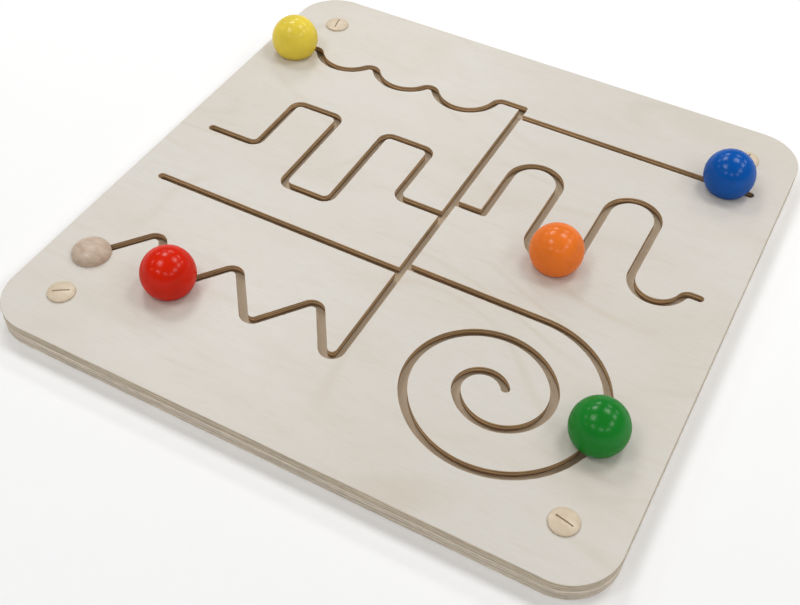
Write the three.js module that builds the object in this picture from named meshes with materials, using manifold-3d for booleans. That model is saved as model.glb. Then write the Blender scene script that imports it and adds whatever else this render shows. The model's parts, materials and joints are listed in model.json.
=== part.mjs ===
// Captive-bead maze panel.
//
// A square board of birch plywood, made of a slotted front panel on a plain back panel. Five
// painted balls stand on the front. Each one is held by a stem that passes through the slot to a
// flat disc, which glides in an undercut track on the back of the front panel.
//
// Millimetres. The back face lies on z = 0, +Z points out of the front face, X runs along the near
// edge and Y away from it, and the origin is under the middle of the board.

import * as THREE from "three";
import { mergeVertices } from "three/addons/utils/BufferGeometryUtils.js";
import Module from "manifold-3d";

const wasm = await Module();
wasm.setup();

// ---- Board ----
const BOARD_SIDE = 575;
const CORNER_RADIUS = 45;
const BACK_THICKNESS = 11.5;
const FRONT_THICKNESS = 9.5;
const FRONT_Z = BACK_THICKNESS + FRONT_THICKNESS;
const EDGE_CHAMFER = 1.2;

// ---- Slots and the track behind them ----
const SLOT_WIDTH = 7.8;
const TRACK_WIDTH = 15;
const TRACK_DEPTH = 2.5;
const CHORD_ERROR = 0.22;
const END_FACETS = 4;

// ---- Slot layout ----
const LEFT_END_X = -254;
const RIGHT_END_X = 255.6;
const SPINE_X = 9.5;
const SPINE_TOP = 202.5;
const LEFT_STRAIGHT_Y = -69;
const RIGHT_STRAIGHT_Y = 188.2;

const WAVE = { radius: 35.5, pitch: 71.27, lastX: -55.8, centreY: 203.5, crest: 8, exit: 9.25 };
const SQUARE = { firstX: -201.3, pitch: 52.87, top: 94.3, middle: 16.3, bottom: -20.9, fillet: 9.5 };
const ZIGZAG = { firstX: -247.7, step: 42.33, top: -133.8, bottom: -189.5, turnY: -204, fillet: 8.3 };
const SINE = { firstX: 41, radius: 25.15, entryY: 36.8, crestY: 99.6, troughY: 33.2, exitY: 31.3, exit: 8 };
const SPIRAL = { x: 147, y: -144.6, radii: [84.4, 62.6, 40.8, 20.5], axis: 213 };

// ---- Fittings ----
const ENTRY = { x: -245.4, y: -186.3, radius: 8 };
const PLUG = { radius: 18, height: 11.2, spigotRadius: 7.7, spigotLength: 9 };
const CAP = { inset: 50, radius: 12.5, rim: 1.1, height: 3.2, spigotRadius: 7.7, spigotLength: 7 };
const CAP_SLOT = { length: 15.6, width: 1.5, depth: 2.4 };
const CAP_BORE_RADIUS = 8;
const WALL_HOLE_RADIUS = 2.75;
const BACK_SCREW = { shank: 1.75, head: 3.6, headHeight: 2, length: 17.6 };
const GAP = 0.3;
const OVERCUT = 1;

// ---- Beads ----
const BALL = { radius: 24.8, centre: 16, base: 0.5, hole: 2.25, holeTop: 19 };
const STEM = { radius: 3, bore: 2.25 };
const DISC = { radius: 6.5, thickness: 1.8, float: 0.35, bore: 2.4, sink: 3.8, sinkDepth: 1.4 };
const BEAD_SCREW = { shank: 1.9, head: 3.4, headHeight: 1.4, length: 27 };

const ROUND_FACETS = 20;
const GLIDE_FACETS = 12;
const SMALL_FACETS = 8;

// ---- Materials ----
const paint = (color) => new THREE.MeshStandardMaterial({ color, roughness: 0.22, metalness: 0 });
const wood = (color) => new THREE.MeshStandardMaterial({ color, roughness: 0.6, metalness: 0 });
const birch = wood(0xd9d2c5);
const birchBack = wood(0xcdbfa8);
const beech = wood(0xc9b3a0);
const maple = wood(0xe4d2b8);
const nylon = new THREE.MeshStandardMaterial({ color: 0xe8e6df, roughness: 0.45, metalness: 0 });
const steel = new THREE.MeshStandardMaterial({ color: 0xb9b9b6, roughness: 0.35, metalness: 0.9 });

const radians = (degrees) => (degrees * Math.PI) / 180;
const point = (x, y) => new THREE.Vector2(x, y);

// ---- Solids ----

// A closed three.js geometry as a solid that can be joined and cut.
function solid(geometry) {
  const bare = geometry.clone();
  bare.deleteAttribute("normal");
  bare.deleteAttribute("uv");
  const merged = mergeVertices(bare, 1e-4);
  return new wasm.Manifold(
    new wasm.Mesh({
      numProp: 3,
      vertProperties: merged.attributes.position.array,
      triVerts: new Uint32Array(merged.index.array),
    }),
  );
}

// A solid as a three.js geometry.
function geometryOf(body) {
  const mesh = body.getMesh();
  const geometry = new THREE.BufferGeometry();
  geometry.setAttribute("position", new THREE.BufferAttribute(mesh.vertProperties, 3));
  geometry.setIndex(new THREE.BufferAttribute(mesh.triVerts, 1));
  geometry.computeVertexNormals();
  return geometry;
}

// An outline pulled straight up from z0 to z1.
function prism(outline, z0, z1) {
  const options = { depth: z1 - z0, bevelEnabled: false };
  const geometry = new THREE.ExtrudeGeometry(new THREE.Shape(outline), options);
  return solid(geometry.translate(0, 0, z0));
}

// A profile of [radius, z] points, counter-clockwise in the radius-z plane, turned about Z.
function turned(profile, facets) {
  const points = profile.map(([radius, z]) => point(radius, z));
  return solid(new THREE.LatheGeometry(points, facets).rotateX(Math.PI / 2));
}

function cylinder(radius, z0, z1, facets) {
  return turned([[0, z0], [radius, z0], [radius, z1], [0, z1]], facets);
}

function block(width, depth, z0, z1) {
  const geometry = new THREE.BoxGeometry(width, depth, z1 - z0);
  return solid(geometry.translate(0, 0, (z0 + z1) / 2));
}

function joined(bodies) {
  return bodies.reduce((whole, body) => whole.add(body));
}

// ---- Routes: the middle line of each slot, as points ----

// A circular arc in degrees, both ends included, with facets that keep to the chord error.
function arc(x, y, radius, from, to) {
  const turn = radians(Math.abs(to - from));
  const facet = 2 * Math.acos(1 - CHORD_ERROR / radius);
  const count = Math.max(2, Math.ceil(turn / facet));
  const points = [];
  for (let i = 0; i <= count; i++) {
    const angle = radians(from + ((to - from) * i) / count);
    points.push(point(x + radius * Math.cos(angle), y + radius * Math.sin(angle)));
  }
  return points;
}

// A polyline whose inner corners are rounded to one radius.
function rounded(corners, radius) {
  const points = [point(...corners[0])];
  for (let i = 1; i < corners.length - 1; i++) {
    const corner = point(...corners[i]);
    const before = point(...corners[i - 1]).sub(corner).normalize();
    const after = point(...corners[i + 1]).sub(corner).normalize();
    const opening = Math.acos(before.dot(after));
    const bisector = before.clone().add(after).normalize();
    const centre = corner.clone().addScaledVector(bisector, radius / Math.sin(opening / 2));
    const setback = radius / Math.tan(opening / 2);
    const start = corner.clone().addScaledVector(before, setback).sub(centre);
    const turn = 180 - THREE.MathUtils.radToDeg(opening);
    const from = THREE.MathUtils.radToDeg(start.angle());
    const side = Math.sign(after.cross(before));
    points.push(...arc(centre.x, centre.y, radius, from, from + side * turn));
  }
  points.push(point(...corners.at(-1)));
  return points;
}

// Scallops from the left end to the spine, joined by small crests.
function waveRoute() {
  const reach = WAVE.radius + WAVE.crest;
  const drop = Math.sqrt(reach ** 2 - (WAVE.pitch / 2) ** 2);
  const side = THREE.MathUtils.radToDeg(Math.atan2(drop, WAVE.pitch / 2));
  const firstX = WAVE.lastX - 3 * WAVE.pitch;
  const begin = THREE.MathUtils.radToDeg(Math.acos((LEFT_END_X - firstX) / WAVE.radius));
  const points = arc(firstX, WAVE.centreY, WAVE.radius, -begin, -side);
  const exitDrop = WAVE.centreY - (SPINE_TOP - WAVE.exit);
  const exitReach = WAVE.radius + WAVE.exit;
  const exitSide = THREE.MathUtils.radToDeg(Math.asin(exitDrop / exitReach));
  for (let i = 1; i <= 3; i++) {
    const x = firstX + i * WAVE.pitch;
    const crestX = x - WAVE.pitch / 2;
    points.push(...arc(crestX, WAVE.centreY - drop, WAVE.crest, 180 - side, side));
    const leave = i < 3 ? side : exitSide;
    points.push(...arc(x, WAVE.centreY, WAVE.radius, side - 180, -leave));
  }
  const exitX = WAVE.lastX + exitReach * Math.cos(radians(exitSide));
  points.push(...arc(exitX, SPINE_TOP - WAVE.exit, WAVE.exit, 180 - exitSide, 90));
  points.push(point(SPINE_X, SPINE_TOP));
  return points;
}

function squareRoute() {
  const x = (column) => SQUARE.firstX + column * SQUARE.pitch;
  const corners = [
    [LEFT_END_X, SQUARE.middle],
    [x(0), SQUARE.middle],
    [x(0), SQUARE.top],
    [x(1), SQUARE.top],
    [x(1), SQUARE.bottom],
    [x(2), SQUARE.bottom],
    [x(2), SQUARE.top],
    [x(3), SQUARE.top],
    [x(3), SQUARE.middle],
    [SPINE_X, SQUARE.middle],
  ];
  return rounded(corners, SQUARE.fillet);
}

// The zigzag from the entry hole, and the spine that it turns up into.
function zigzagRoute() {
  const corners = [];
  for (let i = 0; i < 6; i++) {
    corners.push([ZIGZAG.firstX + i * ZIGZAG.step, i % 2 ? ZIGZAG.top : ZIGZAG.bottom]);
  }
  corners.push([SPINE_X, ZIGZAG.turnY], [SPINE_X, SPINE_TOP]);
  return rounded(corners, ZIGZAG.fillet);
}

// Half circles over and under, on straight sides, then a short level end.
function sineRoute() {
  const pitch = 2 * SINE.radius;
  const points = [point(SINE.firstX, SINE.entryY)];
  for (let i = 0; i < 2; i++) {
    const crestX = SINE.firstX + SINE.radius + 2 * i * pitch;
    points.push(...arc(crestX, SINE.crestY, SINE.radius, 180, 0));
    if (i === 0) points.push(...arc(crestX + pitch, SINE.troughY, SINE.radius, 180, 360));
  }
  const lastX = SINE.firstX + SINE.radius + 3 * pitch;
  const exitY = SINE.exitY - SINE.exit;
  const reach = SINE.radius + SINE.exit;
  const side = THREE.MathUtils.radToDeg(Math.asin((SINE.troughY - exitY) / reach));
  points.push(...arc(lastX, SINE.troughY, SINE.radius, 180, 360 - side));
  const exitX = lastX + reach * Math.cos(radians(side));
  points.push(...arc(exitX, exitY, SINE.exit, 180 - side, 90));
  points.push(point(RIGHT_END_X, SINE.exitY));
  return points;
}

// Arcs of shrinking radius, each one tangent to the last, whose centres lie on one line.
function spiralRoute() {
  const points = [point(SPINE_X, SPIRAL.y + SPIRAL.radii[0])];
  let from = 90;
  let along = 0;
  SPIRAL.radii.forEach((radius, turn) => {
    if (turn > 0) along += (turn % 2 ? 1 : -1) * (SPIRAL.radii[turn - 1] - radius);
    const x = SPIRAL.x + along * Math.cos(radians(SPIRAL.axis));
    const y = SPIRAL.y + along * Math.sin(radians(SPIRAL.axis));
    const to = SPIRAL.axis - 360 - 180 * turn;
    points.push(...arc(x, y, radius, from, to));
    from = to;
  });
  return points;
}

// Every route, with the ends that are rounded. The others end inside another slot.
const routes = [
  { points: zigzagRoute(), roundStart: true, roundEnd: true },
  { points: waveRoute(), roundStart: true, roundEnd: false },
  { points: squareRoute(), roundStart: true, roundEnd: false },
  {
    points: [point(LEFT_END_X, LEFT_STRAIGHT_Y), point(SPINE_X, LEFT_STRAIGHT_Y)],
    roundStart: true,
    roundEnd: false,
  },
  {
    points: [point(SPINE_X, RIGHT_STRAIGHT_Y), point(RIGHT_END_X, RIGHT_STRAIGHT_Y)],
    roundStart: false,
    roundEnd: true,
  },
  {
    points: [point(SPINE_X, SINE.entryY), point(SINE.firstX, SINE.entryY)],
    roundStart: false,
    roundEnd: true,
  },
  { points: sineRoute(), roundStart: false, roundEnd: true },
  { points: spiralRoute(), roundStart: false, roundEnd: true },
];

// The outline of a band of one width along a route.
function band({ points, roundStart, roundEnd }, half) {
  const line = points.filter((p, i) => i === 0 || p.distanceTo(points[i - 1]) > 1e-6);
  const heading = (i) => line[i + 1].clone().sub(line[i]).normalize();
  const left = [];
  const right = [];
  line.forEach((p, i) => {
    const into = heading(Math.max(i - 1, 0));
    const out = heading(Math.min(i, line.length - 2));
    const mean = into.clone().add(out).normalize();
    const reach = half / mean.dot(out);
    const normal = point(-mean.y, mean.x);
    left.push(p.clone().addScaledVector(normal, reach));
    right.push(p.clone().addScaledVector(normal, -reach));
  });
  const cap = (end, from) => {
    const points = [];
    for (let i = 1; i < END_FACETS; i++) {
      const angle = from - (Math.PI * i) / END_FACETS;
      points.push(point(end.x + half * Math.cos(angle), end.y + half * Math.sin(angle)));
    }
    return points;
  };
  const last = heading(line.length - 2).angle();
  const first = heading(0).angle();
  const endCap = roundEnd ? cap(line.at(-1), last + Math.PI / 2) : [];
  const startCap = roundStart ? cap(line[0], first - Math.PI / 2) : [];
  return [...left, ...endCap, ...right.reverse(), ...startCap].reverse();
}

function network(width, z0, z1) {
  return joined(routes.map((route) => prism(band(route, width / 2), z0, z1)));
}

// ---- Board ----

function squareOutline() {
  const side = BOARD_SIDE / 2;
  const inner = side - CORNER_RADIUS;
  return [
    ...arc(inner, inner, CORNER_RADIUS, 0, 90),
    ...arc(-inner, inner, CORNER_RADIUS, 90, 180),
    ...arc(-inner, -inner, CORNER_RADIUS, 180, 270),
    ...arc(inner, -inner, CORNER_RADIUS, 270, 360),
  ];
}

// A slab with both rims chamfered, cut flat at z0 or z1 where it meets the other panel.
function slab(z0, z1, low, high) {
  const options = {
    depth: high - low - 2 * EDGE_CHAMFER,
    bevelThickness: EDGE_CHAMFER,
    bevelSize: EDGE_CHAMFER,
    bevelOffset: -EDGE_CHAMFER,
    bevelSegments: 1,
  };
  const geometry = new THREE.ExtrudeGeometry(new THREE.Shape(squareOutline()), options);
  const whole = solid(geometry.translate(0, 0, low + EDGE_CHAMFER));
  return whole.intersect(block(2 * BOARD_SIDE, 2 * BOARD_SIDE, z0, z1));
}

const capSpots = [
  { name: "front_left", x: -1, y: -1, slotAngle: 34 },
  { name: "front_right", x: 1, y: -1, slotAngle: -12 },
  { name: "back_left", x: -1, y: 1, slotAngle: 102 },
  { name: "back_right", x: 1, y: 1, slotAngle: 80 },
].map((spot) => ({
  ...spot,
  x: spot.x * (BOARD_SIDE / 2 - CAP.inset),
  y: spot.y * (BOARD_SIDE / 2 - CAP.inset),
}));

// Back screws: two near each edge, and four between the tracks.
const RIM_SCREW = { inset: 15, along: 120 };
const rimScrews = [-1, 1].flatMap((side) => {
  const edge = side * (BOARD_SIDE / 2 - RIM_SCREW.inset);
  return [-1, 1].flatMap((end) => [
    { x: edge, y: end * RIM_SCREW.along },
    { x: end * RIM_SCREW.along, y: edge },
  ]);
});
const innerScrews = [
  { x: -70, y: 131 },
  { x: -80, y: -102 },
  { x: 232, y: 110 },
  { x: 50, y: -12 },
];
const screwSpots = [...rimScrews, ...innerScrews];

function frontPanel() {
  const trackTop = BACK_THICKNESS + TRACK_DEPTH;
  const z0 = BACK_THICKNESS - OVERCUT;
  const z1 = FRONT_Z + OVERCUT;
  const pilotTop = BACK_SCREW.length + GAP;
  const cuts = [
    network(SLOT_WIDTH, z0, z1),
    network(TRACK_WIDTH, z0, trackTop),
    cylinder(ENTRY.radius, z0, z1, ROUND_FACETS).translate(ENTRY.x, ENTRY.y, 0),
    ...capSpots.map(({ x, y }) => cylinder(CAP_BORE_RADIUS, z0, z1, ROUND_FACETS).translate(x, y, 0)),
    ...screwSpots.map(({ x, y }) =>
      cylinder(BACK_SCREW.shank + GAP, z0, pilotTop, SMALL_FACETS).translate(x, y, 0),
    ),
  ];
  return slab(BACK_THICKNESS, FRONT_Z, 0, FRONT_Z).subtract(joined(cuts));
}

function backPanel() {
  const z0 = -OVERCUT;
  const z1 = BACK_THICKNESS + OVERCUT;
  const shank = BACK_SCREW.shank + GAP;
  const head = BACK_SCREW.head + GAP;
  const sink = [[0, z0], [head, z0], [head, GAP], [shank, BACK_SCREW.headHeight + GAP], [shank, z1], [0, z1]];
  const cuts = [
    ...capSpots.map(({ x, y }) =>
      cylinder(WALL_HOLE_RADIUS, z0, z1, SMALL_FACETS).translate(x, y, 0),
    ),
    ...screwSpots.map(({ x, y }) => turned(sink, SMALL_FACETS).translate(x, y, 0)),
  ];
  return slab(0, BACK_THICKNESS, 0, FRONT_Z).subtract(joined(cuts));
}

// ---- Fittings, each about its own axis with z = 0 on the front face ----

// A quarter ellipse of [radius, z] points, from the rim up to the axis.
function crown(radius, z0, height, count) {
  const points = [];
  for (let i = 0; i <= count; i++) {
    const angle = (Math.PI / 2) * (i / count);
    const rise = z0 + height * Math.sin(angle);
    points.push([i === count ? 0 : radius * Math.cos(angle), rise]);
  }
  return points;
}

function entryPlug() {
  const { radius, height, spigotRadius, spigotLength } = PLUG;
  const rim = 1;
  return turned(
    [
      [0, -spigotLength],
      [spigotRadius, -spigotLength],
      [spigotRadius, 0],
      [radius, 0],
      ...crown(radius, rim, height - rim, 6),
    ],
    ROUND_FACETS,
  );
}

function cap() {
  const { radius, rim, height, spigotRadius, spigotLength } = CAP;
  const body = turned(
    [
      [0, -spigotLength],
      [spigotRadius, -spigotLength],
      [spigotRadius, 0],
      [radius, 0],
      ...crown(radius, rim, height - rim, 3),
    ],
    ROUND_FACETS,
  );
  const { length, width, depth } = CAP_SLOT;
  return body.subtract(block(length, width, height - depth, height + 1));
}

// A countersunk screw with its head down, and its head's flat face on z = 0.
function screw({ shank, head, headHeight, length }) {
  const tip = 1.5;
  const body = turned(
    [
      [0, 0],
      [head, 0],
      [head, 0.2],
      [shank, headHeight],
      [shank, length - tip],
      [0, length],
    ],
    SMALL_FACETS,
  );
  const blade = head * 1.1;
  const depth = headHeight * 0.6;
  return body
    .subtract(block(blade, 0.8, -1, depth))
    .subtract(block(0.8, blade, -1, depth));
}

// ---- Bead pieces, about the stem's axis with z = 0 on the front face ----

const discLow = -FRONT_THICKNESS + DISC.float;
const discHigh = discLow + DISC.thickness;

// A ball with a flat base and a blind hole for its screw.
function ball() {
  const { radius, centre, base, hole, holeTop } = BALL;
  const baseRadius = Math.sqrt(radius ** 2 - (centre - base) ** 2);
  const start = -Math.acos(baseRadius / radius);
  const count = 9;
  const sphere = [];
  for (let i = 0; i <= count; i++) {
    const angle = start + ((Math.PI / 2 - start) * i) / count;
    sphere.push([i === count ? 0 : radius * Math.cos(angle), centre + radius * Math.sin(angle)]);
  }
  return turned([[0, holeTop], [hole, holeTop], [hole, base], ...sphere], ROUND_FACETS);
}

function stem() {
  const low = discHigh + GAP;
  const high = BALL.base - GAP;
  const { radius, bore } = STEM;
  return turned([[bore, low], [radius, low], [radius, high], [bore, high], [bore, low]], GLIDE_FACETS);
}

function disc() {
  const { radius, bore, sink, sinkDepth } = DISC;
  return turned(
    [
      [sink, discLow],
      [radius, discLow],
      [radius, discHigh],
      [bore, discHigh],
      [bore, discLow + sinkDepth + GAP],
      [sink, discLow],
    ],
    GLIDE_FACETS,
  );
}

// ---- Assembly ----

const root = new THREE.Group();

function place(parent, name, geometry, material, z = 0) {
  const mesh = new THREE.Mesh(geometry, material);
  mesh.name = name;
  mesh.position.z = z;
  parent.add(mesh);
  return mesh;
}

place(root, "front_panel", geometryOf(frontPanel()), birch);
place(root, "back_panel", geometryOf(backPanel()), birchBack);

const plug = place(root, "entry_plug", geometryOf(entryPlug()), beech, FRONT_Z);
plug.position.set(ENTRY.x, ENTRY.y, FRONT_Z);

const capGeometry = geometryOf(cap());
for (const { name, x, y, slotAngle } of capSpots) {
  const mesh = place(root, `cap_${name}`, capGeometry, maple);
  mesh.position.set(x, y, FRONT_Z);
  mesh.rotation.z = radians(slotAngle);
}

const backScrewGeometry = geometryOf(screw(BACK_SCREW));
screwSpots.forEach(({ x, y }, i) => {
  const mesh = place(root, `back_screw_${String(i + 1).padStart(2, "0")}`, backScrewGeometry, steel);
  mesh.position.set(x, y, 0);
});

// Where each bead stands: on a point of its slot's middle line.
const onArc = (x, y, radius, angle) => ({
  x: x + radius * Math.cos(radians(angle)),
  y: y + radius * Math.sin(radians(angle)),
});
const firstTroughX = SINE.firstX + 3 * SINE.radius;
const firstScallopX = WAVE.lastX - 3 * WAVE.pitch;
const beads = [
  { name: "yellow", color: 0xd9c03a, ...onArc(firstScallopX, WAVE.centreY, WAVE.radius, -60.7) },
  { name: "blue", color: 0x0f57ae, x: 231.4, y: RIGHT_STRAIGHT_Y },
  { name: "orange", color: 0xe07e35, ...onArc(firstTroughX, SINE.troughY, SINE.radius, -68.7) },
  { name: "red", color: 0xda2a17, x: -159.8, y: -183.9 },
  { name: "green", color: 0x2a8a36, ...onArc(SPIRAL.x, SPIRAL.y, SPIRAL.radii[0], -6.7) },
];

const ballGeometry = geometryOf(ball());
const stemGeometry = geometryOf(stem());
const discGeometry = geometryOf(disc());
const beadScrewGeometry = geometryOf(screw(BEAD_SCREW));
for (const { name, color, x, y } of beads) {
  const bead = new THREE.Group();
  bead.position.set(x, y, FRONT_Z);
  place(bead, `${name}_ball`, ballGeometry, paint(color));
  place(bead, `${name}_stem`, stemGeometry, steel);
  place(bead, `${name}_disc`, discGeometry, nylon);
  place(bead, `${name}_screw`, beadScrewGeometry, steel, discLow);
  root.add(bead);
}

export default root;
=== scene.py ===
"""Looks of a captive-bead maze panel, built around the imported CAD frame.

A square board of birch plywood holds five painted balls, which stand over the slots of its front
panel. Lengths on the board are in millimetres, as in the CAD part, and MM turns them into metres.
The studio is in metres. The frame has its origin under the middle of the board, with +Z out of the
front face.
"""

import json
import math

import bmesh
import bpy
from mathutils import Matrix, Vector


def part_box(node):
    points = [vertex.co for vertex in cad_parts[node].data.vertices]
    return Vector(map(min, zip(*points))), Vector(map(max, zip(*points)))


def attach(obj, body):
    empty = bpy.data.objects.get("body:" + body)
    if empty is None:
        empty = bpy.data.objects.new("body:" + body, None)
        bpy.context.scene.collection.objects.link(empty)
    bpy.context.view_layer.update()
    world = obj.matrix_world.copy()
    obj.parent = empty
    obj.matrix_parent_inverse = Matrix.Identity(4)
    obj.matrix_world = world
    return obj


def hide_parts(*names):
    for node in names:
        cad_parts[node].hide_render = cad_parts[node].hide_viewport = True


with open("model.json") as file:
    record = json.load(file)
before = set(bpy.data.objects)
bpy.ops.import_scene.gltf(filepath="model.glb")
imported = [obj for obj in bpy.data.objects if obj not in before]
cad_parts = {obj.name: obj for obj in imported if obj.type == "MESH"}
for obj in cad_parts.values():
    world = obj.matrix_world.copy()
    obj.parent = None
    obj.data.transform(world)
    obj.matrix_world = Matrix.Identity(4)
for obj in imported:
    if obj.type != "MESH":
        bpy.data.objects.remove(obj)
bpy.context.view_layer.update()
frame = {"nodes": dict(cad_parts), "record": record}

MM = 0.001
BODY_OF = {
    node: body
    for body, nodes in frame["record"]["behaviour"]["bodies"].items()
    for node in nodes
}

# ---- Board ----
BOARD_SIDE = 575
CORNER_RADIUS = 45
BACK_THICKNESS = 11.5
FRONT_THICKNESS = 9.5
FRONT_Z = BACK_THICKNESS + FRONT_THICKNESS
RIM_ROUNDING = 0.6
JOINT_EASING = 0.3
PLIES = 7
VENEER_NORMAL = 0.85  # a face whose normal is at least this far along Z shows the veneer
SLOT_PAINTED_SHADE = (16.4, 14.8)  # painted shade: slot walls darken from the first height down to the second

# ---- Slots and the track behind them ----
SLOT_WIDTH = 7.8
SLOT_EASING = 0.2
SLOT_FLARE = 60  # degrees from upright at the top of the eased rim
TRACK_WIDTH = 15
TRACK_DEPTH = 2.5
OVERCUT = 1

# ---- Slot layout ----
LEFT_END_X = -254
RIGHT_END_X = 255.6
SPINE_X = 9.5
SPINE_TOP = 202.5
LEFT_STRAIGHT_Y = -69
RIGHT_STRAIGHT_Y = 188.2
WAVE = {
    "scallops": 4,
    "radius": 35.5,
    "pitch": 71.27,
    "last_x": -55.8,
    "centre_y": 203.5,
    "crest": 8,
    "exit": 9.25,
}
SQUARE = {
    "first_x": -201.3,
    "pitch": 52.87,
    "top": 94.3,
    "middle": 16.3,
    "bottom": -20.9,
    "fillet": 9.5,
}
ZIGZAG = {
    "corners": 6,
    "first_x": -247.7,
    "step": 42.33,
    "top": -133.8,
    "bottom": -189.5,
    "turn_y": -204,
    "fillet": 8.3,
}
SINE = {
    "first_x": 41,
    "radius": 25.15,
    "entry_y": 36.8,
    "crest_y": 99.6,
    "trough_y": 33.2,
    "exit_y": 31.3,
    "exit": 8,
}
SPIRAL = {"x": 147, "y": -144.6, "radii": [84.4, 62.6, 40.8, 20.5], "axis": 213}

# ---- Fittings ----
ENTRY_RADIUS = 8
PLUG = {"radius": 18, "rim": 1, "height": 11.2, "spigot": 7.7, "depth": 9}
CAP = {"radius": 12.5, "rim": 1.1, "height": 3.2, "spigot": 7.7, "depth": 7}
DOME_RIM_EASING = 0.2
SPIGOT_EASING = 0.5
CAP_SLOT = {"length": 15.6, "width": 1.5, "depth": 2.4}
CAP_TURNS = {"front_left": 34, "front_right": -12, "back_left": 102, "back_right": 80}
CAP_BORE_RADIUS = 8
WALL_HOLE_RADIUS = 2.75
BACK_SCREW = {"shank": 1.75, "head": 3.6, "head_height": 2, "length": 17.6}
SCREW_TIP = 1.5
HEAD_EASING = 0.15
HEAD_LIP = 0.25
CROSS_WIDTH = 0.8
CROSS_SPAN = 1.1  # times the head's radius
CROSS_DEPTH = 0.6  # times the head's height
GAP = 0.3

# ---- Beads ----
BALL = {"radius": 24.8, "centre": 16, "base": 0.5, "hole": 2.25, "hole_top": 19, "hole_cone": 1}
STEM = {"radius": 3, "bore": 2.25, "easing": 0.15}
DISC = {"radius": 6.5, "thickness": 1.8, "easing": 0.3, "float": 0.35}
DISC_HOLE = {"bore": 2.4, "sink": 3.8, "sink_depth": 1.4}
BEAD_SCREW = {"shank": 1.9, "head": 3.4, "head_height": 1.4, "length": 27}

# ---- Facets ----
CHORD_ERROR = 0.015
CORNER_STEPS = 32
END_STEPS = 24
RIM_STEPS = 5
FLARE_STEPS = 3
CROWN_STEPS = {"plug": 24, "cap": 12, "ball": 44}
TURNED_STEPS = {
    "bore": 48,
    "pilot": 24,
    "back_hole": 32,
    "plug": 72,
    "cap": 64,
    "screw": 40,
    "ball": 96,
    "stem": 40,
    "disc": 56,
}
SHARP_ANGLE = 40
LEVEL_NORMAL = 0.99999  # a face whose normal is at least this far along Z is level
REPEATED_POINT = 1e-5  # a point this near the last one is left out
SMALLEST_EDGE = 1e-7  # in metres

# ---- Camera and studio ----
CAMERA_PLACE = Vector((321.6, -680.2, 731.7)) * MM
CAMERA_HEADING = 27.061
CAMERA_TILT = 47.616
CAMERA_ROLL = 1.69
CAMERA_LENS = 49.47
LAMP_HEIGHT = 2.05
LAMP_SIZE = 0.7
LAMP_POWER = 10.6
LAMPS = [  # x, y and strength of each ceiling lamp
    (-2.7, 2.6, 0.5),
    (-1.3, 2.6, 1.5),
    (0.5, 2.6, 0.9),
    (2.0, 2.6, 0.8),
    (-2.7, 1.0, 0.6),
    (-1.2, 1.0, 1.4),
    (0.5, 1.0, 1.2),
    (1.8, 1.0, 1.0),
    (-2.7, -0.8, 0.5),
    (-0.8, -0.7, 1.0),
    (2.0, -0.3, 0.9),
    (-2.6, -2.5, 0.4),
    (-0.6, -2.3, 0.7),
    (1.0, -2.2, 0.6),
    (2.2, -1.6, 0.6),
]
GLOW = {"colour": (1.0, 0.985, 0.965, 1), "horizon": 0.78, "zenith": 0.18, "fade_height": 0.35}
FLOOR_RADIUS = 2.2
FLOOR_STEPS = 96
FLOOR_DROP = 0.0002


# ---- Routes: the middle line of each slot, as points ----


def arc(x, y, radius, start, end, steps=None):
    """Points of a circular arc between two angles in degrees, both ends included."""
    if steps is None:
        facet = 2 * math.acos(1 - CHORD_ERROR / radius)
        steps = max(2, math.ceil(math.radians(abs(end - start)) / facet))
    angles = [math.radians(start + (end - start) * i / steps) for i in range(steps + 1)]
    return [Vector((x + radius * math.cos(a), y + radius * math.sin(a))) for a in angles]


def rounded(corners, radius):
    """A polyline whose inner corners are rounded to one radius."""
    corners = [Vector(corner) for corner in corners]
    points = [corners[0]]
    for before, corner, after in zip(corners, corners[1:], corners[2:]):
        into = (before - corner).normalized()
        out = (after - corner).normalized()
        opening = into.angle(out)
        centre = corner + (into + out).normalized() * (radius / math.sin(opening / 2))
        tangent = corner + into * (radius / math.tan(opening / 2)) - centre
        start = math.degrees(math.atan2(tangent.y, tangent.x))
        side = out.x * into.y - out.y * into.x
        turn = math.copysign(180 - math.degrees(opening), side)
        points += arc(centre.x, centre.y, radius, start, start + turn)
    return points + [corners[-1]]


def wave_route():
    """Scallops from the left end to the spine, joined by small crests."""
    radius, pitch, crest, leave = WAVE["radius"], WAVE["pitch"], WAVE["crest"], WAVE["exit"]
    last = WAVE["scallops"] - 1
    drop = math.sqrt((radius + crest) ** 2 - (pitch / 2) ** 2)
    side = math.degrees(math.atan2(drop, pitch / 2))
    first_x = WAVE["last_x"] - last * pitch
    begin = math.degrees(math.acos((LEFT_END_X - first_x) / radius))
    points = arc(first_x, WAVE["centre_y"], radius, -begin, -side)
    exit_drop = WAVE["centre_y"] - (SPINE_TOP - leave)
    exit_side = math.degrees(math.asin(exit_drop / (radius + leave)))
    for i in range(1, last + 1):
        x = first_x + i * pitch
        end = -side if i < last else -exit_side
        points += arc(x - pitch / 2, WAVE["centre_y"] - drop, crest, 180 - side, side)
        points += arc(x, WAVE["centre_y"], radius, side - 180, end)
    exit_x = WAVE["last_x"] + (radius + leave) * math.cos(math.radians(exit_side))
    points += arc(exit_x, SPINE_TOP - leave, leave, 180 - exit_side, 90)
    return points + [Vector((SPINE_X, SPINE_TOP))]


def square_route():
    """The square wave from the left end to the spine."""
    x = [SQUARE["first_x"] + column * SQUARE["pitch"] for column in range(4)]
    top, middle, bottom = SQUARE["top"], SQUARE["middle"], SQUARE["bottom"]
    corners = [(LEFT_END_X, middle), (x[0], middle), (x[0], top), (x[1], top), (x[1], bottom)]
    corners += [(x[2], bottom), (x[2], top), (x[3], top), (x[3], middle), (SPINE_X, middle)]
    return rounded(corners, SQUARE["fillet"])


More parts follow.
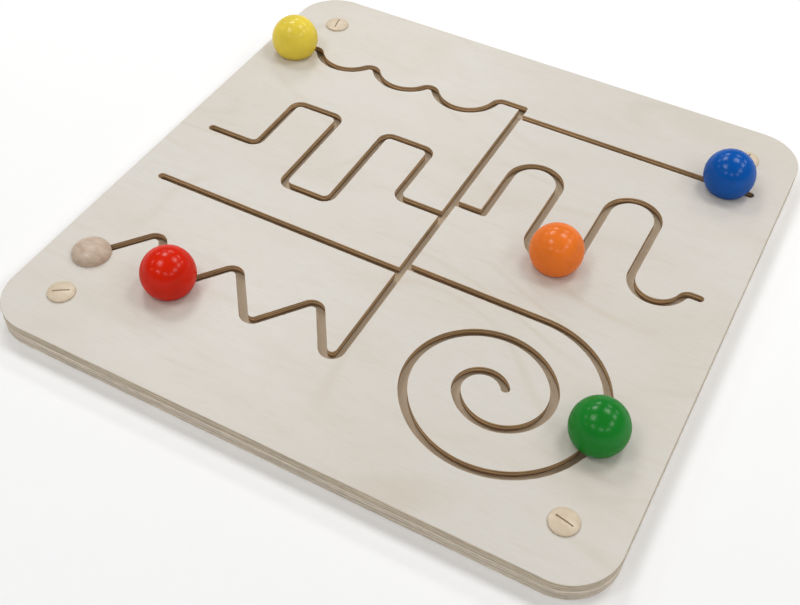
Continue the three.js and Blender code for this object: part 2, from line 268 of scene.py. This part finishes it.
def zigzag_route():
    """The zigzag from the entry hole, and the spine that it turns up into."""
    levels = (ZIGZAG["bottom"], ZIGZAG["top"])
    first_x, step = ZIGZAG["first_x"], ZIGZAG["step"]
    corners = [(first_x + i * step, levels[i % 2]) for i in range(ZIGZAG["corners"])]
    corners += [(SPINE_X, ZIGZAG["turn_y"]), (SPINE_X, SPINE_TOP)]
    return rounded(corners, ZIGZAG["fillet"])


def sine_route():
    """Half circles over and under, on straight sides, then a short level end.

    Crests are four radii apart, and each trough is two radii after a crest."""
    radius, leave = SINE["radius"], SINE["exit"]
    points = [Vector((SINE["first_x"], SINE["entry_y"]))]
    for i in range(2):
        crest_x = SINE["first_x"] + radius + 4 * i * radius
        points += arc(crest_x, SINE["crest_y"], radius, 180, 0)
        if i == 0:
            points += arc(crest_x + 2 * radius, SINE["trough_y"], radius, 180, 360)
    last_x = SINE["first_x"] + 7 * radius
    exit_y = SINE["exit_y"] - leave
    side = math.degrees(math.asin((SINE["trough_y"] - exit_y) / (radius + leave)))
    points += arc(last_x, SINE["trough_y"], radius, 180, 360 - side)
    exit_x = last_x + (radius + leave) * math.cos(math.radians(side))
    points += arc(exit_x, exit_y, leave, 180 - side, 90)
    return points + [Vector((RIGHT_END_X, SINE["exit_y"]))]


def spiral_route():
    """Arcs of shrinking radius, each one tangent to the last, whose centres lie on one line."""
    radii, axis = SPIRAL["radii"], math.radians(SPIRAL["axis"])
    points = [Vector((SPINE_X, SPIRAL["y"] + radii[0]))]
    start = 90
    along = 0
    for turn, radius in enumerate(radii):
        if turn > 0:
            along += (1 if turn % 2 else -1) * (radii[turn - 1] - radius)
        end = SPIRAL["axis"] - 360 - 180 * turn
        x = SPIRAL["x"] + along * math.cos(axis)
        y = SPIRAL["y"] + along * math.sin(axis)
        points += arc(x, y, radius, start, end)
        start = end
    return points


def routes():
    """Every route as (points, rounded start, rounded end). The other ends lie inside another slot."""
    left = [Vector((LEFT_END_X, LEFT_STRAIGHT_Y)), Vector((SPINE_X, LEFT_STRAIGHT_Y))]
    right = [Vector((SPINE_X, RIGHT_STRAIGHT_Y)), Vector((RIGHT_END_X, RIGHT_STRAIGHT_Y))]
    sine_entry = [Vector((SPINE_X, SINE["entry_y"])), Vector((SINE["first_x"], SINE["entry_y"]))]
    return [
        (zigzag_route(), True, True),
        (wave_route(), True, False),
        (square_route(), True, False),
        (left, True, False),
        (right, False, True),
        (sine_entry, False, True),
        (sine_route(), False, True),
        (spiral_route(), False, True),
    ]


def half_turn(centre, radius, heading):
    """The inner points of a half circle about the end of a band that runs along heading."""
    facing = math.degrees(math.atan2(heading.y, heading.x))
    return arc(centre.x, centre.y, radius, facing - 90, facing + 90, END_STEPS)[1:-1]


def band_outline(route, half):
    """The counter-clockwise outline of a band of one width along a route."""
    points, round_start, round_end = route
    line = [points[0]]
    for point in points[1:]:
        if (point - line[-1]).length > REPEATED_POINT:
            line.append(point)
    headings = [(b - a).normalized() for a, b in zip(line, line[1:])]
    left, right = [], []
    for i, point in enumerate(line):
        into = headings[max(i - 1, 0)]
        out = headings[min(i, len(headings) - 1)]
        mean = (into + out).normalized()
        side = Vector((-mean.y, mean.x)) * (half / mean.dot(out))
        left.append(point + side)
        right.append(point - side)
    end = half_turn(line[-1], half, headings[-1]) if round_end else []
    start = half_turn(line[0], half, -headings[0]) if round_start else []
    return right + end + left[::-1] + start


# ---- Meshes ----


def loft(rings):
    """A closed mesh through rings of equal length, with flat ends."""
    made = bmesh.new()
    loops = [[made.verts.new(Vector(point) * MM) for point in ring] for ring in rings]
    for low, high in zip(loops, loops[1:]):
        for i in range(len(low)):
            made.faces.new((low[i - 1], low[i], high[i], high[i - 1]))
    made.faces.new(loops[0][::-1])
    made.faces.new(loops[-1])
    return made


def turned(profile, steps, closed=False):
    """A profile of (radius, z) points turned about Z. A closed one joins its last to its first."""
    made = bmesh.new()
    rings = []
    for radius, z in profile:
        angles = [2 * math.pi * i / steps for i in range(steps if radius else 1)]
        places = [(radius * math.cos(a), radius * math.sin(a), z) for a in angles]
        ring = [made.verts.new(Vector(place) * MM) for place in places]
        rings.append(ring if radius else ring * steps)
    pairs = list(zip(rings, rings[1:])) + ([(rings[-1], rings[0])] if closed else [])
    for low, high in pairs:
        for i in range(steps):
            corners = list(dict.fromkeys((low[i - 1], low[i], high[i], high[i - 1])))
            if len(corners) > 2:
                made.faces.new(corners)
    return made


def block(width, depth, z0, z1):
    """A box about the Z axis."""
    corners = [(-1, -1), (1, -1), (1, 1), (-1, 1)]
    return loft([[(x * width / 2, y * depth / 2, z) for x, y in corners] for z in (z0, z1)])


def quarter(radius, height, z0, steps):
    """A quarter ellipse of (radius, z) points, from the rim up to the axis."""
    angles = [math.pi / 2 * i / steps for i in range(steps)]
    rim = [(radius * math.cos(a), z0 + height * math.sin(a)) for a in angles]
    return rim + [(0, z0 + height)]


def moved(shape, x, y, turn=0):
    """A mesh shifted to a place in the plane, in millimetres, after a turn in degrees about Z."""
    shift = Matrix.Translation(Vector((x, y, 0)) * MM)
    rotation = Matrix.Rotation(math.radians(turn), 4, "Z")
    bmesh.ops.transform(shape, matrix=shift @ rotation, verts=shape.verts)
    return shape


def gathered(shapes):
    """Several separate meshes as one."""
    whole = bmesh.new()
    for shape in shapes:
        mesh = bpy.data.meshes.new("shape")
        shape.to_mesh(mesh)
        shape.free()
        whole.from_mesh(mesh)
        bpy.data.meshes.remove(mesh)
    return whole


def object_of(name, shape):
    """A mesh as an object in the scene, facing outwards."""
    bmesh.ops.recalc_face_normals(shape, faces=shape.faces)
    mesh = bpy.data.meshes.new(name)
    shape.to_mesh(mesh)
    shape.free()
    made = bpy.data.objects.new(name, mesh)
    bpy.context.scene.collection.objects.link(made)
    return made


def cut(shape, tools):
    """The mesh with each tool taken out of it in turn."""
    body = object_of("cut_body", shape)
    for tool in tools:
        knife = object_of("cut_tool", tool)
        modifier = body.modifiers.new("cut", "BOOLEAN")
        modifier.operation = "DIFFERENCE"
        modifier.solver = "MANIFOLD"
        modifier.object = knife
        bpy.context.view_layer.update()
        evaluated = body.evaluated_get(bpy.context.evaluated_depsgraph_get())
        result = bpy.data.meshes.new_from_object(evaluated)
        body.modifiers.clear()
        body.data = result
        bpy.data.objects.remove(knife)
    made = bmesh.new()
    made.from_mesh(body.data)
    bpy.data.objects.remove(body)
    bmesh.ops.dissolve_degenerate(made, edges=made.edges, dist=SMALLEST_EDGE)
    return made


def shade(mesh, sharp_angle):
    """Smooth faces, with sharp edges over an angle in degrees and all round each level face."""
    work = bmesh.new()
    work.from_mesh(mesh)
    limit = math.radians(sharp_angle)
    for face in work.faces:
        face.smooth = True
    for edge in work.edges:
        level = [abs(face.normal.z) > LEVEL_NORMAL for face in edge.link_faces]
        edge.smooth = len(set(level)) == 1 and edge.calc_face_angle(0) < limit
    work.to_mesh(mesh)
    work.free()


def piece(node, shape, materials, choose=None):
    """A finished piece that stands for a CAD node and rides on its body.

    choose takes a face and returns the number of its material."""
    made = object_of(node + "_finish", shape)
    for material in materials:
        made.data.materials.append(material)
    shade(made.data, SHARP_ANGLE)
    if choose:
        for face in made.data.polygons:
            face.material_index = choose(face)
    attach(made, BODY_OF[node])
    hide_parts(node)


def centre_of(node):
    """The middle of a CAD node in the plane, in millimetres."""
    low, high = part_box(node)
    return (low.x + high.x) / 2 / MM, (low.y + high.y) / 2 / MM


# ---- Materials ----


def new_material(name, **sockets):
    """A material, its node tree and its shader, with constants set on the shader's sockets."""
    material = bpy.data.materials.new(name)
    material.use_nodes = True
    tree = material.node_tree
    shader = tree.nodes["Principled BSDF"]
    for socket, value in sockets.items():
        shader.inputs[socket.replace("_", " ")].default_value = value
    return material, tree, shader


def node(tree, kind, inputs, output=0, **settings):
    """A shader node with its inputs set or linked, as its output socket."""
    made = tree.nodes.new("ShaderNode" + kind)
    for key, value in settings.items():
        setattr(made, key, value)
    for key, value in inputs.items():
        if isinstance(value, bpy.types.NodeSocket):
            tree.links.new(value, made.inputs[key])
        else:
            made.inputs[key].default_value = value
    return made.outputs[output]


def maths(tree, operation, a, b=0.0, c=0.0):
    """The result of a Math node."""
    return node(tree, "Math", {0: a, 1: b, 2: c}, operation=operation)


def mixed(tree, factor, a, b):
    """A colour between a and b. Inputs 6 and 7 and output 2 are the Mix node's colour sockets."""
    return node(tree, "Mix", {0: factor, 6: a, 7: b}, output=2, data_type="RGBA")


def ramp(tree, factor, low, high):
    """0 at low, 1 at high, and smooth between. Past either end it stays level."""
    return node(tree, "MapRange", {0: factor, 1: low, 2: high}, interpolation_type="SMOOTHSTEP")


def tinted(tree, base, tint, pattern, low, high, amount):
    """The base colour pulled towards a tint, by up to an amount, as a pattern goes from low to high."""
    factor = maths(tree, "MULTIPLY", ramp(tree, pattern, low, high), amount)
    return mixed(tree, factor, base, tint)


def shaded(colour, factor):
    """A colour with its brightness scaled."""
    return tuple(factor * channel for channel in colour[:3]) + (1,)


def place(tree, stretch=(1, 1, 1)):
    """The point on the piece, stretched along its own axes."""
    spot = node(tree, "TexCoord", {}, output="Object")
    return node(tree, "Mapping", {"Vector": spot, "Scale": stretch})


def noise(tree, stretch, scale, detail=3, distortion=0.0):
    """Noise stretched along the piece's own axes."""
    inputs = {
        "Vector": place(tree, stretch),
        "Scale": scale,
        "Detail": detail,
        "Distortion": distortion,
    }
    return node(tree, "TexNoise", inputs)


def surface(tree, shader, colour, pattern, smooth, rough):
    """The shader's colour, and its roughness, which goes from smooth to rough with a pattern."""
    tree.links.new(colour, shader.inputs["Base Color"])
    roughness = node(tree, "MapRange", {0: pattern, 3: smooth, 4: rough})
    tree.links.new(roughness, shader.inputs["Roughness"])


def bump(tree, shader, height, strength, distance):
    """Relief on the shader's surface, with distance in metres."""
    inputs = {"Height": height, "Strength": strength, "Distance": distance}
    tree.links.new(node(tree, "Bump", inputs), shader.inputs["Normal"])


def veneer(name, pale, tan, roughness):
    """Rotary-cut birch with its grain along X: faint wavy growth lines, soft clouds and fine pores."""
    material, tree, shader = new_material(name)
    cloud = noise(tree, (1, 2, 1), 6, detail=4, distortion=0.6)
    growth = noise(tree, (1, 1.6, 1), 2.4, detail=1, distortion=0.3)
    wave = maths(tree, "FRACT", maths(tree, "MULTIPLY", growth, 13.0))
    line = ramp(tree, maths(tree, "ABSOLUTE", maths(tree, "SUBTRACT", wave, 0.5)), 0.34, 0.5)
    broken = ramp(tree, noise(tree, (1, 1, 1), 9, detail=4), 0.42, 0.7)
    streaks = noise(tree, (6, 40, 6), 3.0, detail=5, distortion=0.4)
    fine = noise(tree, (24, 190, 24), 2.4, detail=4)
    pores = noise(tree, (90, 1100, 90), 1.6, detail=3)
    base = tinted(tree, pale, tan, cloud, 0.35, 0.75, 0.3)
    broken_line = maths(tree, "MULTIPLY", line, broken)
    base = mixed(tree, maths(tree, "MULTIPLY", broken_line, 0.36), base, tan)
    base = tinted(tree, base, tan, streaks, 0.5, 0.75, 0.18)
    base = tinted(tree, base, tan, fine, 0.45, 0.75, 0.2)
    base = tinted(tree, base, shaded(tan, 0.55), pores, 0.56, 0.76, 0.1)
    surface(tree, shader, base, streaks, roughness - 0.05, roughness + 0.07)
    bump(tree, shader, pores, 0.12, 0.00008)
    return material


def ply_pattern(tree, low, thickness):
    """Where a point lies in the plies: height, depth in the panel, layer and how far the grain crosses.

    low and thickness are the panel's, in millimetres. Grain crosses from one layer to the next."""
    height = node(tree, "SeparateXYZ", {0: place(tree)}, output="Z")
    waver = maths(tree, "MULTIPLY_ADD", noise(tree, (9, 9, 1), 2.0), 0.0006, -0.0003)
    level = maths(tree, "SUBTRACT", maths(tree, "ADD", height, waver), low * MM)
    depth = maths(tree, "DIVIDE", level, thickness * MM)
    layer = maths(tree, "MULTIPLY", depth, PLIES)
    odd = maths(tree, "FLOORED_MODULO", maths(tree, "FLOOR", layer), 2.0)
    facing = node(tree, "TexCoord", {}, output="Normal")
    across = maths(tree, "ABSOLUTE", node(tree, "SeparateXYZ", {0: facing}, output="X"))
    crossed = maths(tree, "ABSOLUTE", maths(tree, "SUBTRACT", odd, ramp(tree, across, 0.6, 0.8)))
    return height, depth, layer, crossed


def ply_edge(name, low, thickness, tones, core=0.0, painted_shade_heights=None):
    """The layers of plywood on a cut edge.

    low and thickness are the panel's, in millimetres, and tones are the long grain, the end grain and
    the glue. core is how far the middle layers darken. painted_shade_heights is a pair of heights, and
    the walls darken with painted shade from the first down to the second."""
    material, tree, shader = new_material(name)
    height, depth, layer, crossed = ply_pattern(tree, low, thickness)
    long_grain, end_grain, glue = tones
    fibres = noise(tree, (9, 9, 600), 2.0, detail=5)
    ends = noise(tree, (70, 70, 600), 2.0, detail=4)
    pale = mixed(tree, ramp(tree, fibres, 0.35, 0.65), long_grain, shaded(long_grain, 0.55))
    dark = mixed(tree, ramp(tree, ends, 0.35, 0.65), end_grain, shaded(end_grain, 0.6))
    base = mixed(tree, crossed, pale, dark)
    chance = node(tree, "TexWhiteNoise", {"W": maths(tree, "FLOOR", layer)}, noise_dimensions="1D")
    base = mixed(tree, maths(tree, "MULTIPLY", chance, 0.25), base, shaded(end_grain, 0.85))
    off_centre = maths(tree, "ABSOLUTE", maths(tree, "SUBTRACT", depth, 0.5))
    base = tinted(tree, base, glue, off_centre, 0.32, 0.05, core)
    within = maths(tree, "ABSOLUTE", maths(tree, "SUBTRACT", maths(tree, "FRACT", layer), 0.5))
    broken = ramp(tree, noise(tree, (12, 12, 1), 2.0), 0.4, 0.66)
    seam = maths(tree, "MULTIPLY", ramp(tree, within, 0.42, 0.49), broken)
    base = mixed(tree, seam, base, glue)
    # painted shade: the walls darken towards a dark glue tone deeper down the slot
    if painted_shade_heights:
        shadow = node(tree, "MapRange", {0: height, 1: painted_shade_heights[0] * MM, 2: painted_shade_heights[1] * MM})
        base = mixed(tree, shadow, base, shaded(glue, 1.3))
    surface(tree, shader, base, crossed, 0.55, 0.7)
    bump(tree, shader, mixed(tree, crossed, fibres, ends), 0.25, 0.00015)
    return material


def turned_wood(name, pale, tan, flecks):
    """Small turned fittings in fine-grained wood, with short flecks along X."""
    material, tree, shader = new_material(name)
    rings = noise(tree, (50, 90, 60), 2.6, detail=5, distortion=0.3)
    fleck = noise(tree, (300, 700, 500), 1.5, detail=3)
    base = mixed(tree, ramp(tree, rings, 0.36, 0.68), pale, tan)
    base = tinted(tree, base, shaded(tan, 0.5), fleck, 0.56, 0.7, flecks)
    surface(tree, shader, base, rings, 0.28, 0.46)
    bump(tree, shader, fleck, 0.2, 0.0001)
    return material


def gloss_paint(name, colour):
    """Thick glossy paint, with a slight unevenness from the brush and the wood under it."""
    coat = {"Coat_Weight": 0.44, "Coat_Roughness": 0.19}
    material, tree, shader = new_material(name, Specular_IOR_Level=0.0, **coat)
    cloud = noise(tree, (1, 1, 1), 38, detail=3)
    speck = noise(tree, (1, 1, 1), 900, detail=2)
    base = mixed(tree, ramp(tree, cloud, 0.35, 0.7), colour, shaded(colour, 0.86))
    base = tinted(tree, base, (0.8, 0.78, 0.74, 1), speck, 0.66, 0.8, 0.05)
    surface(tree, shader, base, cloud, 0.36, 0.48)
    bump(tree, shader, cloud, 0.08, 0.0004)
    return material


def natural_nylon(name):
    """Milky moulded plastic."""
    material, tree, shader = new_material(name)
    cloud = noise(tree, (1, 1, 1), 160, detail=3)
    base = mixed(tree, ramp(tree, cloud, 0.35, 0.7), (0.8, 0.79, 0.75, 1), (0.72, 0.7, 0.64, 1))
    surface(tree, shader, base, cloud, 0.38, 0.55)
    bump(tree, shader, noise(tree, (1, 1, 1), 1400), 0.15, 0.00005)
    return material


def zinc_steel(name):
    """Bright zinc plate with fine scratches across X."""
    material, tree, shader = new_material(name, Metallic=1.0)
    cloud = noise(tree, (1, 1, 1), 420, detail=4)
    scratch = noise(tree, (1800, 300, 300), 1.0, detail=2)
    base = mixed(tree, ramp(tree, cloud, 0.35, 0.7), (0.62, 0.62, 0.6, 1), (0.46, 0.46, 0.45, 1))
    surface(tree, shader, base, scratch, 0.24, 0.45)
    bump(tree, shader, scratch, 0.2, 0.00004)
    return material


def floor_paper(name):
    """Plain pale studio paper."""
    material, tree, shader = new_material(name, Roughness=0.9)
    fibre = noise(tree, (1, 1, 1), 60, detail=5)
    base = mixed(tree, fibre, (0.97, 0.97, 0.97, 1), (0.95, 0.95, 0.95, 1))
    tree.links.new(base, shader.inputs["Base Color"])
    return material


# ---- Pieces ----


def square_ring(inset, z):
    """The board's rounded square at one height, set in from the edge."""
    inner = BOARD_SIDE / 2 - CORNER_RADIUS
    points = []
    for i, (x, y) in enumerate(((1, 1), (-1, 1), (-1, -1), (1, -1))):
        points += arc(x * inner, y * inner, CORNER_RADIUS - inset, 90 * i, 90 * i + 90, CORNER_STEPS)
    return [(point.x, point.y, z) for point in points]


def eased_rim(z, radius, direction):
    """(inset, z) pairs of a rim rounded towards a face at height z, from the side to the face."""
    angles = [math.pi / 2 * i / RIM_STEPS for i in range(RIM_STEPS + 1)]
    insets = [radius * (1 - math.cos(a)) for a in angles]
    return [(inset, z - direction * radius * (1 - math.sin(a))) for inset, a in zip(insets, angles)]


def slot_profile():
    """(half width, z) of the slot with its track, from below the front panel to above it.

    The rim is eased up to the flare angle, and above the panel the slot widens at that angle."""
    half = SLOT_WIDTH / 2
    track_top = BACK_THICKNESS + TRACK_DEPTH
    track = [(TRACK_WIDTH / 2, BACK_THICKNESS - OVERCUT), (TRACK_WIDTH / 2, track_top)]
    easing = []
    for i in range(FLARE_STEPS + 1):
        a = math.radians(SLOT_FLARE * i / FLARE_STEPS)
        spread = SLOT_EASING * (1 - math.cos(a))
        easing.append((half + spread, FRONT_Z - SLOT_EASING * (1 - math.sin(a))))
    last_half, last_z = easing[-1]
    rise = FRONT_Z + OVERCUT - last_z
    above = (last_half + rise * math.tan(math.radians(SLOT_FLARE)), FRONT_Z + OVERCUT)
    return track + [(half, track_top)] + easing + [above]


def slot_tools():
    """One solid for each slot, to be cut out of the front panel."""
    tools = []
    for route in routes():
        rings = []
        for half, z in slot_profile():
            rings.append([(point.x, point.y, z) for point in band_outline(route, half)])
        tools.append(loft(rings))
    return tools


def screw_nodes():
    """The names of the back screws."""
    return [name for name in frame["nodes"] if name.startswith("back_screw")]


def cap_nodes():
    """The names of the corner caps."""
    return ["cap_" + corner for corner in CAP_TURNS]


def drill(radius, z0, z1, steps):
    """A plain round cutter about the Z axis."""
    return turned([(0, z0), (radius, z0), (radius, z1), (0, z1)], steps)


def front_panel(materials):
    """The slotted panel: slots and tracks, the entry hole, the cap bores and the screw pilots."""
    low, high = BACK_THICKNESS, FRONT_Z
    rim = [(JOINT_EASING, low), (0, low + JOINT_EASING)] + eased_rim(high, RIM_ROUNDING, 1)
    slab = loft([square_ring(inset, z) for inset, z in rim])
    z0, z1 = low - OVERCUT, high + OVERCUT
    pilot_radius = BACK_SCREW["shank"] + GAP
    pilot_top = BACK_SCREW["length"] + GAP
    steps = TURNED_STEPS["bore"]
    holes = [moved(drill(CAP_BORE_RADIUS, z0, z1, steps), *centre_of(name)) for name in cap_nodes()]
    for name in screw_nodes():
        pilot = drill(pilot_radius, z0, pilot_top, TURNED_STEPS["pilot"])
        holes.append(moved(pilot, *centre_of(name)))
    entry = moved(drill(ENTRY_RADIUS, z0, z1, steps), *centre_of("entry_plug"))
    shape = cut(slab, slot_tools() + [entry, gathered(holes)])
    piece("front_panel", shape, materials, choose=panel_side)


def back_panel(materials):
    """The plain panel behind it, with the wall-screw holes and the countersunk screw holes."""
    rim = eased_rim(0, RIM_ROUNDING, -1)[::-1]
    rim += [(0, BACK_THICKNESS - JOINT_EASING), (JOINT_EASING, BACK_THICKNESS)]
    slab = loft([square_ring(inset, z) for inset, z in rim])
    z0, z1 = -OVERCUT, BACK_THICKNESS + OVERCUT
    shank = BACK_SCREW["shank"] + GAP
    head = BACK_SCREW["head"] + GAP
    sink = [(0, z0), (head, z0), (head, GAP), (shank, BACK_SCREW["head_height"] + GAP)]
    sink += [(shank, z1), (0, z1)]
    steps = TURNED_STEPS["back_hole"]
    holes = [moved(drill(WALL_HOLE_RADIUS, z0, z1, steps), *centre_of(name)) for name in cap_nodes()]
    holes += [moved(turned(sink, steps), *centre_of(name)) for name in screw_nodes()]
    shape = cut(slab, [gathered(holes)])
    piece("back_panel", shape, materials, choose=panel_side)


def panel_side(face):
    """The number of a face's material: the veneer, the outer edge, the walls of slots and holes, or
    the face between the panels, which shows only as the floor of the slots."""
    if abs(face.normal.z) > VENEER_NORMAL:
        return 3 if abs(face.center.z / MM - BACK_THICKNESS) < JOINT_EASING else 0
    inner = BOARD_SIDE / 2 - CORNER_RADIUS
    across = [max(abs(value) / MM - inner, 0) for value in face.center[:2]]
    return 1 if math.hypot(*across) > CORNER_RADIUS - 2 * RIM_ROUNDING else 2


def dome(radius, rim, height, spigot, depth, crown_steps, steps):
    """A turned cap over its spigot, with its rim on the board."""
    foot = [(0, -depth), (spigot - SPIGOT_EASING, -depth), (spigot, SPIGOT_EASING - depth)]
    foot += [(spigot, 0), (radius - DOME_RIM_EASING, 0), (radius, DOME_RIM_EASING)]
    crown = quarter(radius, height - rim, rim, crown_steps)
    return turned([(r, z + FRONT_Z) for r, z in foot + crown], steps)


def entry_plug(material):
    """The half dome over the hole where the beads go in."""
    shape = dome(**PLUG, crown_steps=CROWN_STEPS["plug"], steps=TURNED_STEPS["plug"])
    piece("entry_plug", moved(shape, *centre_of("entry_plug")), [material])


def cap(corner, material):
    """A low turned cap with a straight driver slot."""
    name = "cap_" + corner
    top = FRONT_Z + CAP["height"]
    slot = block(CAP_SLOT["length"], CAP_SLOT["width"], top - CAP_SLOT["depth"], top + OVERCUT)
    shape = cut(dome(**CAP, crown_steps=CROWN_STEPS["cap"], steps=TURNED_STEPS["cap"]), [slot])
    moved(shape, *centre_of(name), turn=CAP_TURNS[corner])
    piece(name, shape, [material])


def screw(shank, head, head_height, length, low):
    """A countersunk screw with its head down, and a cross recess in the head."""
    profile = [(0, 0), (head - HEAD_EASING, 0), (head, HEAD_EASING), (head, HEAD_LIP)]
    profile += [(shank, head_height), (shank, length - SCREW_TIP), (0, length)]
    shape = turned([(r, z + low) for r, z in profile], TURNED_STEPS["screw"])
    span = head * CROSS_SPAN
    z0, z1 = low - OVERCUT, low + head_height * CROSS_DEPTH
    return cut(shape, [block(span, CROSS_WIDTH, z0, z1), block(CROSS_WIDTH, span, z0, z1)])


def back_screw(name, material):
    """One of the screws that hold the back panel, flush with its back."""
    shape = screw(**BACK_SCREW, low=0)
    piece(name, moved(shape, *centre_of(name)), [material])


def ball(colour, material):
    """A ball with a flat base and a blind hole for its screw."""
    radius, centre, base, steps = BALL["radius"], BALL["centre"], BALL["base"], CROWN_STEPS["ball"]
    start = math.asin((base - centre) / radius)
    angles = [start + (math.pi / 2 - start) * i / steps for i in range(steps)]
    sphere = [(radius * math.cos(a), centre + radius * math.sin(a)) for a in angles]
    top = BALL["hole_top"]
    hole = [(0, top), (BALL["hole"], top - BALL["hole_cone"]), (BALL["hole"], base)]
    profile = hole + sphere + [(0, centre + radius)]
    shape = turned([(r, z + FRONT_Z) for r, z in profile], TURNED_STEPS["ball"])
    name = colour + "_ball"
    piece(name, moved(shape, *centre_of(name)), [material])


def eased_side(radius, easing, low, high):
    """(radius, z) points up the outside of a short cylinder with eased rims."""
    corners = [(radius - easing, low), (radius, low + easing)]
    return corners + [(radius, high - easing), (radius - easing, high)]


def stem(colour, material):
    """The tube that runs in the slot."""
    low = BACK_THICKNESS + DISC["float"] + DISC["thickness"] + GAP
    high = FRONT_Z + BALL["base"] - GAP
    outer = eased_side(STEM["radius"], STEM["easing"], low, high)
    profile = [(STEM["bore"], low)] + outer + [(STEM["bore"], high)]
    shape = turned(profile, TURNED_STEPS["stem"], closed=True)
    name = colour + "_stem"
    piece(name, moved(shape, *centre_of(name)), [material])


def disc(colour, material):
    """The gliding disc, countersunk for the screw's head."""
    low = BACK_THICKNESS + DISC["float"]
    high = low + DISC["thickness"]
    bore, sink = DISC_HOLE["bore"], DISC_HOLE["sink"]
    hole = [(bore, high), (bore, low + DISC_HOLE["sink_depth"] + GAP), (sink, low)]
    profile = eased_side(DISC["radius"], DISC["easing"], low, high) + hole
    shape = turned(profile, TURNED_STEPS["disc"], closed=True)
    name = colour + "_disc"
    piece(name, moved(shape, *centre_of(name)), [material])


def bead(colour, paint, steel, nylon):
    """A ball, its stem and screw, and the disc that glides in the track."""
    ball(colour, paint)
    stem(colour, steel)
    disc(colour, nylon)
    name = colour + "_screw"
    shape = screw(**BEAD_SCREW, low=BACK_THICKNESS + DISC["float"])
    piece(name, moved(shape, *centre_of(name)), [steel])


# ---- Studio ----


def studio_floor(material):
    """A wide round floor just under the board."""
    made = bmesh.new()
    bmesh.ops.create_circle(made, cap_ends=True, segments=FLOOR_STEPS, radius=FLOOR_RADIUS)
    floor = object_of("studio_floor", made)
    floor.location.z = -FLOOR_DROP
    floor.data.materials.append(material)


def lamp(name, spot, power):
    """A square area lamp that points straight down."""
    light = bpy.data.lights.new(name, "AREA")
    light.size = LAMP_SIZE
    light.energy = power
    made = bpy.data.objects.new(name, light)
    made.location = spot
    bpy.context.scene.collection.objects.link(made)


def ceiling_lamps():
    """Square lamps all over the ceiling, as in a showroom."""
    for number, (x, y, strength) in enumerate(LAMPS):
        lamp(f"lamp_{number}", (x, y, LAMP_HEIGHT), LAMP_POWER * strength)


def soft_world():
    """Near-white light from all round, brighter towards the horizon, which is also the backdrop."""
    world = bpy.data.worlds.new("studio")
    bpy.context.scene.world = world
    world.use_nodes = True
    tree = world.node_tree
    background = tree.nodes["Background"]
    background.inputs["Color"].default_value = GLOW["colour"]
    direction = node(tree, "TexCoord", {}, output="Generated")
    height = node(tree, "SeparateXYZ", {0: direction}, output="Z")
    levels = {0: height, 1: 0.0, 2: GLOW["fade_height"], 3: GLOW["horizon"], 4: GLOW["zenith"]}
    glow = node(tree, "MapRange", levels, interpolation_type="SMOOTHSTEP")
    tree.links.new(glow, background.inputs["Strength"])


def camera():
    """The photograph's viewing angle."""
    heading, tilt = math.radians(CAMERA_HEADING), math.radians(CAMERA_TILT)
    level = math.cos(tilt)
    back = Vector((math.sin(heading) * level, -math.cos(heading) * level, math.sin(tilt)))
    data = bpy.data.cameras.new("camera")
    data.lens = CAMERA_LENS
    made = bpy.data.objects.new("camera", data)
    made.rotation_mode = "QUATERNION"
    roll = Matrix.Rotation(math.radians(CAMERA_ROLL), 3, "Z").to_quaternion()
    made.rotation_quaternion = back.to_track_quat("Z", "Y") @ roll
    made.location = CAMERA_PLACE
    bpy.context.scene.collection.objects.link(made)
    bpy.context.scene.camera = made


# ---- Build ----

camera()
soft_world()
ceiling_lamps()
studio_floor(floor_paper("studio_paper"))

front_edge_tones = ((0.78, 0.67, 0.52, 1), (0.53, 0.43, 0.31, 1), (0.24, 0.17, 0.11, 1))
back_edge_tones = ((0.97, 0.88, 0.75, 1), (0.72, 0.62, 0.48, 1), (0.3, 0.225, 0.155, 1))
wall_tones = ((0.93, 0.68, 0.405, 1), (0.49, 0.31, 0.155, 1), (0.11, 0.056, 0.022, 1))
front_veneer = veneer("birch_face", (0.66, 0.627, 0.57, 1), (0.575, 0.485, 0.38, 1), 0.4)
back_veneer = veneer("birch_back_face", (0.6, 0.52, 0.41, 1), (0.5, 0.4, 0.28, 1), 0.55)
track_floor = veneer("birch_track_floor", (0.68, 0.548, 0.395, 1), (0.55, 0.417, 0.275, 1), 0.6)
front_edge = ply_edge("birch_front_edge", BACK_THICKNESS, FRONT_THICKNESS, front_edge_tones)
front_wall = ply_edge("birch_front_wall", BACK_THICKNESS, FRONT_THICKNESS, wall_tones, painted_shade_heights=SLOT_PAINTED_SHADE)
back_edge = ply_edge("birch_back_edge", 0, BACK_THICKNESS, back_edge_tones, core=0.3)
back_wall = ply_edge("birch_back_wall", 0, BACK_THICKNESS, wall_tones)
beech = turned_wood("beech", (0.58, 0.455, 0.35, 1), (0.5, 0.375, 0.275, 1), 0.22)
maple = turned_wood("maple", (0.67, 0.555, 0.41, 1), (0.62, 0.5, 0.355, 1), 0.12)
nylon_material = natural_nylon("nylon")
steel_material = zinc_steel("zinc_steel")
paints = {
    "yellow": gloss_paint("yellow_gloss", (0.86, 0.665, 0.07, 1)),
    "blue": gloss_paint("blue_gloss", (0.0, 0.092, 0.42, 1)),
    "orange": gloss_paint("orange_gloss", (0.92, 0.205, 0.022, 1)),
    "red": gloss_paint("red_gloss", (0.7, 0.0145, 0.0, 1)),
    "green": gloss_paint("green_gloss", (0.008, 0.215, 0.02, 1)),
}

front_panel([front_veneer, front_edge, front_wall, track_floor])
back_panel([back_veneer, back_edge, back_wall, track_floor])
entry_plug(beech)
for cap_corner in CAP_TURNS:
    cap(cap_corner, maple)
for screw_name in screw_nodes():
    back_screw(screw_name, steel_material)
for bead_colour, bead_paint in paints.items():
    bead(bead_colour, bead_paint, steel_material, nylon_material)

bpy.context.scene.view_settings.view_transform = "Standard"
